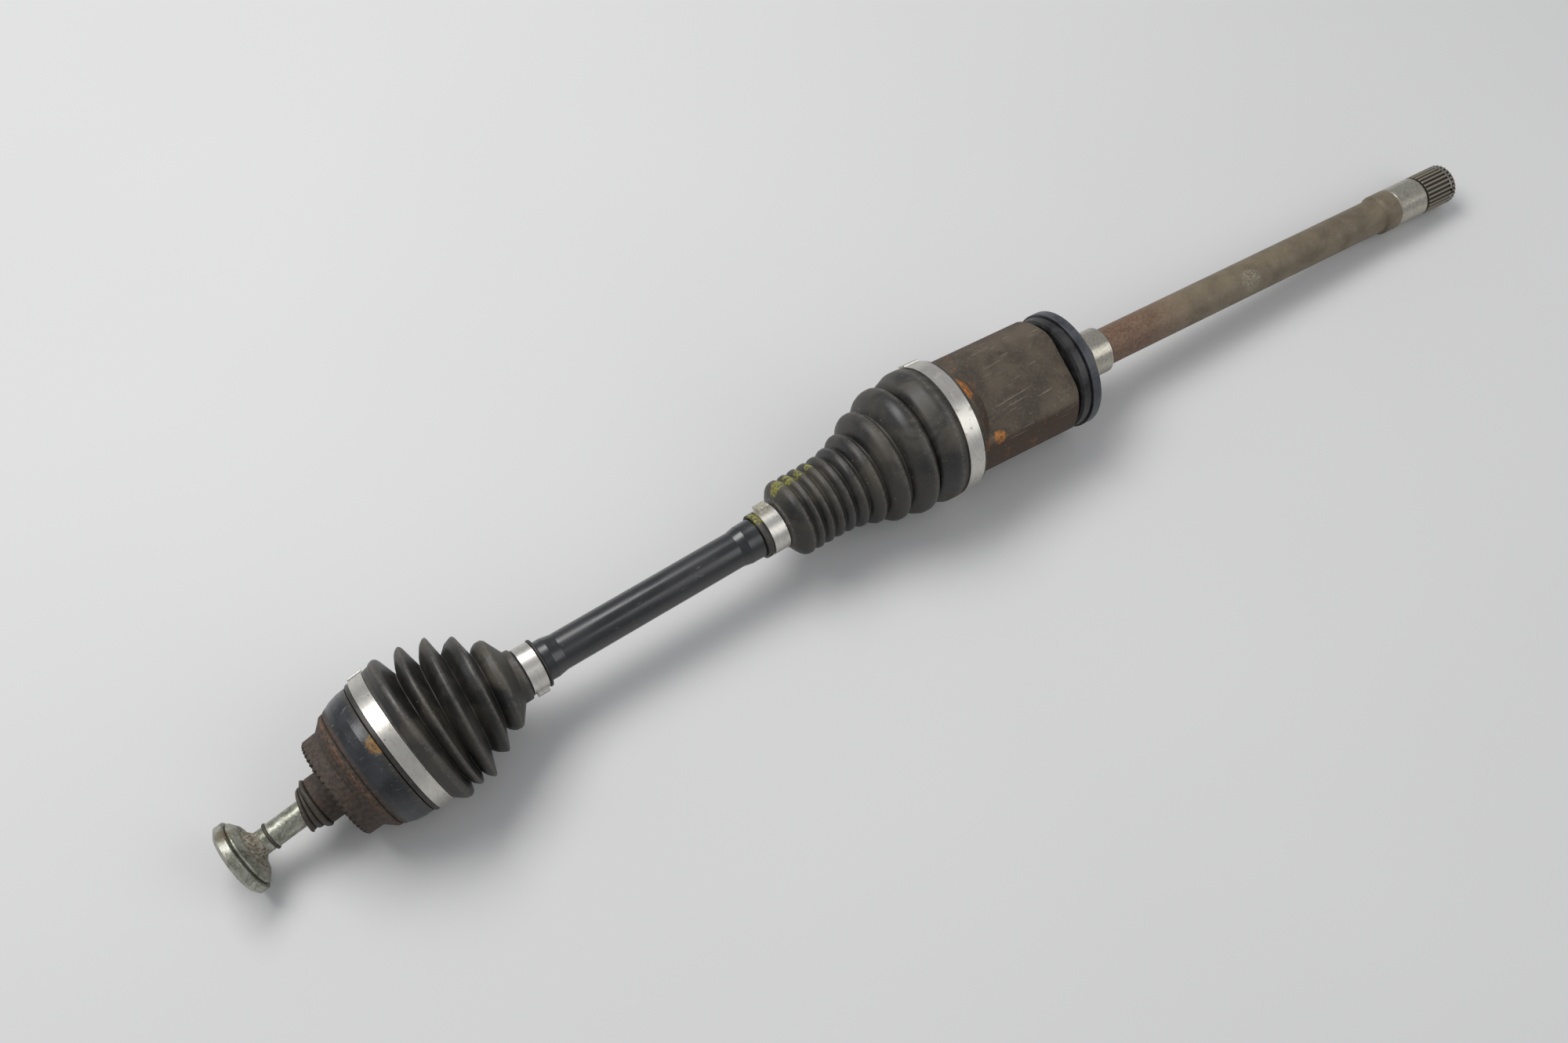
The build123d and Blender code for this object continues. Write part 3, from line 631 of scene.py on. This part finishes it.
def black_bar():
    """Glossy black paint, dull and rubbed towards the boots."""
    p = Paint("black_paint", 0.26)
    s = p.along(WHEEL_CENTRE, bar_axis)
    cloudy = p.noise(30, 4, 0.55, 0.3)
    base = p.mix(cloudy, linear(17, 18, 20), linear(31, 31, 33))
    ends = p.most(p.inverse(p.step(s, *BAR_RUBS[0])), p.step(s, *BAR_RUBS[1]))
    rub = p.times(ends, p.step(p.noise(3, 6, 0.74, 0.6, stretch=(0.4, 1, 1)), 0.50, 0.78))
    base = p.over(base, rub, 0.34, linear(76, 72, 67))
    scuff = p.step(p.noise(2.6, 6, 0.72, 0.6, stretch=(0.25, 1, 1)), 0.61, 0.70)
    scuff = p.times(scuff, p.step(p.noise(26, 3, 0.5, offset=(70, 0, 0)), 0.48, 0.64))
    base = p.over(base, scuff, 0.5, linear(120, 121, 122))
    dust = p.step(p.noise(1.5, 3, 0.6, offset=(9, 0, 0)), 0.66, 0.76)
    base = p.over(base, dust, 0.4, linear(108, 98, 82))
    p.colour(base)
    p.roughness(p.blend(p.most(ends, p.step(cloudy, 0.3, 0.7)), 0.18, 0.36))
    p.shader.inputs["Coat Weight"].default_value = 0.4
    p.shader.inputs["Coat Roughness"].default_value = 0.24
    p.bump(p.plus(p.times(dust, 0.5), p.times(scuff, 0.4)), 0.10, 0.15)
    return p


def housing_skin():
    """Rough rusty nose, and chipped dark paint on the bell behind a rusty lip, painted lighter where it faces up
    as a highlight.
    """
    p = Paint("housing_skin", 0.5)
    s = p.along(WHEEL_CENTRE, wheel_axis)
    cloudy = p.noise(16, 6, 0.62, 0.3)
    fine = p.noise(2.4, 6, 0.7, 0.2)
    pits = p.noise(0.9, 4, 0.65)
    station = p.wander(s, cloudy, 4.0)
    upper = p.facing((-0.25, -0.1, 1), 0.0, 0.8)
    rust = p.mix(p.step(fine, 0.32, 0.70), linear(42, 34, 29), linear(74, 62, 52))
    red = p.step(p.noise(9, 5, 0.6, 0.4, offset=(30, 0, 0)), 0.50, 0.68)
    low = p.times(red, p.inverse(p.times(upper, 0.6)))
    rust = p.over(rust, low, 0.6, linear(82, 50, 35))
    holes = p.step(p.noise(2.6, 3, 0.5, offset=(0, 0, 12)), 0.66, 0.74)
    rust = p.over(rust, holes, 0.8, linear(28, 22, 18))
    paint = p.mix(p.step(cloudy, 0.38, 0.66), linear(24, 25, 28), linear(46, 48, 51))
    olive = p.times(p.step(station, *OLIVE_EDGE), p.step(fine, 0.30, 0.62))
    paint = p.over(paint, olive, 0.6, linear(68, 62, 46))
    scrape = p.step(p.noise(3.4, 6, 0.72, 0.3, stretch=(0.3, 1, 1), offset=(0, 0, 55)), 0.60, 0.70)
    paint = p.over(paint, scrape, 0.55, linear(118, 120, 122))
    chips = p.step(p.noise(3.2, 5, 0.68, 0.3, offset=(0, 33, 0)), 0.63, 0.72)
    paint = p.mix(chips, paint, rust)
    painted = p.step(station, *PAINT_EDGE)
    base = p.mix(painted, rust, paint)
    spot = p.spot(BELL_STAIN, 7)
    base = p.over(base, spot, p.step(fine, 0.30, 0.60), linear(134, 100, 52))
    # Orange-brown line on the lip: rust, painted stronger on its upward side as a highlight
    lip = p.times(p.span(s, *LIP, 0.8), p.step(fine, 0.40, 0.64))
    lip = p.times(lip, p.plus(0.08, p.times(upper, 0.6)))
    base = p.mix(lip, base, linear(116, 78, 50))
    specks = p.step(p.noise(1.1, 2, 0.5, offset=(51, 0, 0)), 0.74, 0.78)
    base = p.over(base, specks, 0.6, linear(170, 164, 152))
    p.colour(base)
    rough = p.blend(painted, 0.74, 0.27)
    p.roughness(p.math("ADD", rough, p.times(p.most(chips, olive), 0.22), clamp=True))
    rusty = p.times(p.inverse(p.times(painted, 0.85)), pits)
    p.bump(p.plus(rusty, p.times(fine, 0.35)), 0.5, 0.45)
    return p


def zinc_bolt():
    """Dulled zinc with painted highlights, a rusty cone and a dark groove."""
    p = Paint("zinc", 0.42, 0.75)
    s = p.along(WHEEL_CENTRE, wheel_axis)
    cloudy = p.noise(7, 6, 0.65, 0.4)
    fine = p.noise(1.6, 5, 0.65)
    base = p.mix(p.step(cloudy, 0.33, 0.68), linear(112, 113, 98), linear(164, 164, 152))
    # Pale patches over the zinc: painted highlights
    base = p.over(base, p.step(fine, 0.50, 0.70), 0.6, linear(202, 203, 196))
    green = p.step(p.noise(5, 6, 0.7, 0.4, offset=(0, 0, 21)), 0.54, 0.72)
    base = p.over(base, green, 0.6, linear(92, 90, 66))
    cone = p.span(s, *BOLT_CONE, 1.2)
    base = p.over(base, cone, p.step(fine, 0.40, 0.64), linear(92, 68, 50))
    groove = p.inverse(p.step(p.math("ABSOLUTE", p.plus(s, -BOLT_GROOVE)), 0.3, 1.1))
    base = p.over(base, groove, 0.62, linear(66, 67, 54))
    spot = p.spot(BOLT_STAIN, 5)
    base = p.over(base, spot, 0.45, linear(120, 96, 68))
    p.colour(base)
    dull = p.most(p.times(cone, 0.8), p.times(green, 0.8))
    p.metallic(p.blend(dull, 0.72, 0.2))
    p.roughness(p.blend(dull, 0.36, 0.66))
    p.bump(p.plus(cloudy, p.times(fine, 0.6)), 0.30, 0.3)
    return p


def seal_rubber():
    """Brown, dusty rubber of the nose seal and the ring under the bolt."""
    p = Paint("seal_rubber", 0.55)
    cloudy = p.noise(6, 5, 0.6, 0.4)
    fine = p.noise(1.2, 5, 0.6)
    base = p.mix(cloudy, linear(40, 36, 31), linear(74, 67, 56))
    base = p.over(base, p.step(fine, 0.55, 0.7), 0.4, linear(104, 94, 76))
    p.colour(base)
    p.roughness(p.blend(cloudy, 0.46, 0.66))
    p.bump(fine, 0.3, 0.2)
    return p


def tulip_steel():
    """Forged steel: brown cup with orange rust and painted shade on its underside, olive shaft, bright ground
    seats and dark teeth.
    """
    p = Paint("rusty_steel", 0.7, 0.1)
    s = p.along(tulip_centre, tulip_axis)
    r = p.off(tulip_centre, tulip_axis)
    cloudy = p.noise(26, 6, 0.62, 0.3)
    fine = p.noise(2.0, 6, 0.7, 0.2)
    pits = p.noise(0.8, 4, 0.65)
    ragged = p.wander(s, cloudy, 5.0)
    upper = p.facing((0.0, -0.1, 1), 0.42, 0.86)
    brown = p.mix(p.step(cloudy, 0.35, 0.66), linear(60, 52, 43), linear(86, 76, 63))
    brown = p.over(brown, p.step(fine, 0.48, 0.70), 0.45, linear(104, 93, 76))
    # Darker and redder where the cup faces down: painted shade, with some rust colour
    brown = p.mix(p.inverse(upper), brown, p.mix(fine, linear(48, 37, 29), linear(74, 55, 40)))
    orange = p.step(p.noise(11, 6, 0.68, 0.5, offset=(0, 15, 70)), 0.55, 0.68)
    near_clamp = p.inverse(p.step(s, *CLAMP_RUST_FADE))
    where = p.math("ADD", p.times(near_clamp, 0.55), p.times(p.inverse(upper), 0.35), clamp=True)
    brown = p.over(brown, orange, where, linear(138, 82, 36))
    for place, size in ((CUP_STAIN, 8), (LOW_CUP_STAIN, 5)):
        patch = p.spot(place, size)
        brown = p.over(brown, patch, p.step(fine, 0.36, 0.56), linear(164, 102, 38))
    specks = p.step(p.noise(1.1, 2, 0.5, offset=(7, 0, 0)), 0.72, 0.77)
    brown = p.over(brown, specks, 0.75, linear(196, 188, 170))
    lines = p.step(p.noise(1.4, 2, 0.5, stretch=(0.03, 1, 1), offset=(0, 4, 0)), 0.66, 0.72)
    brown = p.over(brown, lines, 0.4, linear(146, 134, 118))
    olive = p.mix(p.step(cloudy, 0.30, 0.70), linear(88, 78, 62), linear(118, 106, 86))
    olive = p.over(olive, p.step(fine, 0.50, 0.72), 0.3, linear(138, 126, 106))
    reddish = p.mix(p.step(fine, 0.36, 0.66), linear(90, 63, 48), linear(124, 94, 74))
    redness = p.inverse(p.step(ragged, *RED_FADE))
    olive = p.over(olive, redness, 0.8, reddish)
    stain = p.step(p.noise(7, 5, 0.65, 0.4, offset=(0, 0, 31)), 0.56, 0.74)
    bright = p.mix(p.step(fine, 0.30, 0.75), linear(158, 153, 140), linear(190, 186, 174))
    bright = p.over(bright, stain, 0.4, linear(112, 100, 82))
    tooth = p.mix(p.step(r, *TOOTH_RISE), linear(48, 42, 36), linear(122, 114, 100))
    on_shaft = p.step(ragged, *CUP_END)
    base = p.mix(on_shaft, brown, olive)
    ground = p.most(p.span(s, *NEAR_SEAT, 0.35), p.span(s, *FAR_SEAT, 0.35))
    base = p.mix(ground, base, bright)
    base = p.mix(p.step(s, *TEETH_START), base, tooth)
    mark = p.spot(SHAFT_MARK, 9)
    mark = p.times(mark, p.step(p.noise(1.0, 5, 0.8, 2.0), 0.54, 0.60))
    base = p.mix(mark, base, linear(196, 190, 172))
    p.colour(base)
    p.metallic(p.blend(ground, 0.12, 0.9))
    p.roughness(p.blend(ground, p.blend(on_shaft, 0.70, 0.5), 0.26))
    rough_zone = p.inverse(p.times(ground, 0.9))
    p.bump(p.times(p.plus(pits, fine), rough_zone), 0.4, 0.4)
    return p


def dark_ring():
    """Blued steel of the dust ring: dark on its cone, partly as painted shade, and painted paler on its rim as
    lit.
    """
    p = Paint("blued_steel", 0.42, 0.3)
    s = p.along(tulip_centre, tulip_axis)
    cloudy = p.noise(11, 6, 0.62, 0.3)
    fine = p.noise(1.6, 5, 0.65)
    base = p.mix(p.step(cloudy, 0.35, 0.68), linear(32, 32, 34), linear(54, 53, 54))
    # Paler rim: painted light, against the darker cone
    rim = p.step(s, *RING_RIM)
    base = p.mix(rim, base, p.mix(p.step(cloudy, 0.35, 0.68), linear(50, 52, 57), linear(74, 76, 82)))
    base = p.over(base, p.step(fine, 0.58, 0.74), 0.5, linear(104, 94, 80))
    p.colour(base)
    p.roughness(p.blend(p.step(cloudy, 0.4, 0.7), 0.30, 0.55))
    p.bump(p.plus(cloudy, fine), 0.2, 0.25)
    return p


def ground_steel(name, dark, light, roughness):
    """Oily ground steel of the parts inside the joints."""
    p = Paint(name, roughness, 1.0)
    fine = p.noise(1.2, 5, 0.6, stretch=(0.4, 1, 1))
    oily = p.noise(9, 4, 0.6, 0.5)
    base = p.mix(fine, dark, light)
    base = p.over(base, p.step(oily, 0.5, 0.7), 0.4, linear(120, 104, 78))
    p.colour(base)
    p.bump(fine, 0.08, 0.1)
    return p


def dress(piece, paint):
    piece.data.materials.clear()
    piece.data.materials.append(paint.mat)


rubber = boot_rubber()
for piece in (outer_boot, inner_boot, inner_cuff):
    dress(piece, rubber)
band = steel_band()
zinc = zinc_bolt()
soft_seal = seal_rubber()
dress(nose_seal, soft_seal)
hard = ground_steel("hardened_steel", linear(128, 128, 130), linear(168, 168, 170), 0.3)
polished = ground_steel("bearing_steel", linear(186, 186, 188), linear(214, 214, 216), 0.12)
finishes = {
    "wheel_joint_housing": housing_skin(),
    "hub_bolt": zinc,
    "bolt_washer": zinc,
    "bolt_o_ring": soft_seal,
    "nose_seal": soft_seal,
    "bar_shaft": black_bar(),
    "tulip_shaft": tulip_steel(),
    "dust_ring": dark_ring(),
    "end_circlip": hard,
    "race_circlip": hard,
    "spider_circlip": hard,
    "inner_race": hard,
    "ball_cage": hard,
    "tripod_spider": hard,
}
for name, piece in frame["nodes"].items():
    if "clamp" in name:
        dress(piece, band)
    elif name in finishes:
        dress(piece, finishes[name])
    elif name.startswith(("ball_", "needles_")):
        dress(piece, polished)
    elif name.startswith("roller"):
        dress(piece, hard)
    else:
        dress(piece, rubber)


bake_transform(outer_boot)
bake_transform(inner_boot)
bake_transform(inner_cuff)

# Pale floor, just under the shaft, in metres
FLOOR_REACH, FLOOR_Z = 6, -0.0001
corners = [(x * FLOOR_REACH, y * FLOOR_REACH, FLOOR_Z) for x, y in ((-1, -1), (1, -1), (1, 1), (-1, 1))]
floor_mesh = bpy.data.meshes.new("floor")
floor_mesh.from_pydata(corners, [], [(0, 1, 2, 3)])
floor = linked("floor", floor_mesh)
pale = Paint("floor_pale", 0.75, 0.0, 0.3)
pale.colour(pale.mix(pale.noise(400, 2, 0.5), (0.56, 0.555, 0.55), (0.60, 0.595, 0.59)))
dress(floor, pale)

# Soft studio light: a pale world and two area lamps
world = bpy.data.worlds.new("studio")
bpy.context.scene.world = world
world.use_nodes = True
background = world.node_tree.nodes["Background"]
background.inputs["Color"].default_value = (0.93, 0.96, 1.0, 1)
background.inputs["Strength"].default_value = 0.45


def softbox(name, place, size, power):
    """Area lamp aimed at the middle of the floor, with place and size in metres and power in watts."""
    lamp = bpy.data.lights.new(name, "AREA")
    lamp.shape = "RECTANGLE"
    lamp.size, lamp.size_y = size
    lamp.energy = power
    hung = linked(name, lamp)
    hung.location = place
    hung.rotation_euler = (-Vector(place)).to_track_quat("-Z", "Y").to_euler()


softbox("key", (-0.5, 0.9, 1.7), (1.6, 0.9), 31)
softbox("fill", (0.9, -1.2, 1.4), (1.4, 1.4), 9)

# The viewpoint of the photograph: focal length and width of the picture in its pixels, width of the
# sensor, angles in radians, and height and foot point in millimetres
FOCAL_PX, PHOTO_WIDTH, SENSOR_WIDTH = 2182.0155, 2000, 36
TILT, ROLL, HEADING = 1.01437409, 0.0589313529, 0.65967
CAMERA_HEIGHT = 953.5
FOOT = Vector((-222.3746, 393.4604, 0))
turn = Matrix.Rotation(-HEADING, 3, "Z")
ahead = turn @ Vector((0, math.cos(TILT), -math.sin(TILT)))
right = turn @ Vector((1, 0, 0))
above = right.cross(ahead)
image_right = right * math.cos(ROLL) + above * math.sin(ROLL)
image_up = above * math.cos(ROLL) - right * math.sin(ROLL)
eye = turn @ (Vector((0, 0, CAMERA_HEIGHT)) - FOOT) + Vector((WHEEL_CENTRE.x, WHEEL_CENTRE.y, 0))
lens = bpy.data.cameras.new("camera")
lens.sensor_width = SENSOR_WIDTH
lens.sensor_fit = "HORIZONTAL"
lens.lens = FOCAL_PX / PHOTO_WIDTH * SENSOR_WIDTH
camera = linked("camera", lens)
pose = Matrix((image_right, image_up, -ahead)).transposed().to_4x4()
pose.translation = eye * MM
camera.matrix_world = pose
bpy.context.scene.camera = camera
bpy.context.scene.view_settings.view_transform = "Standard"
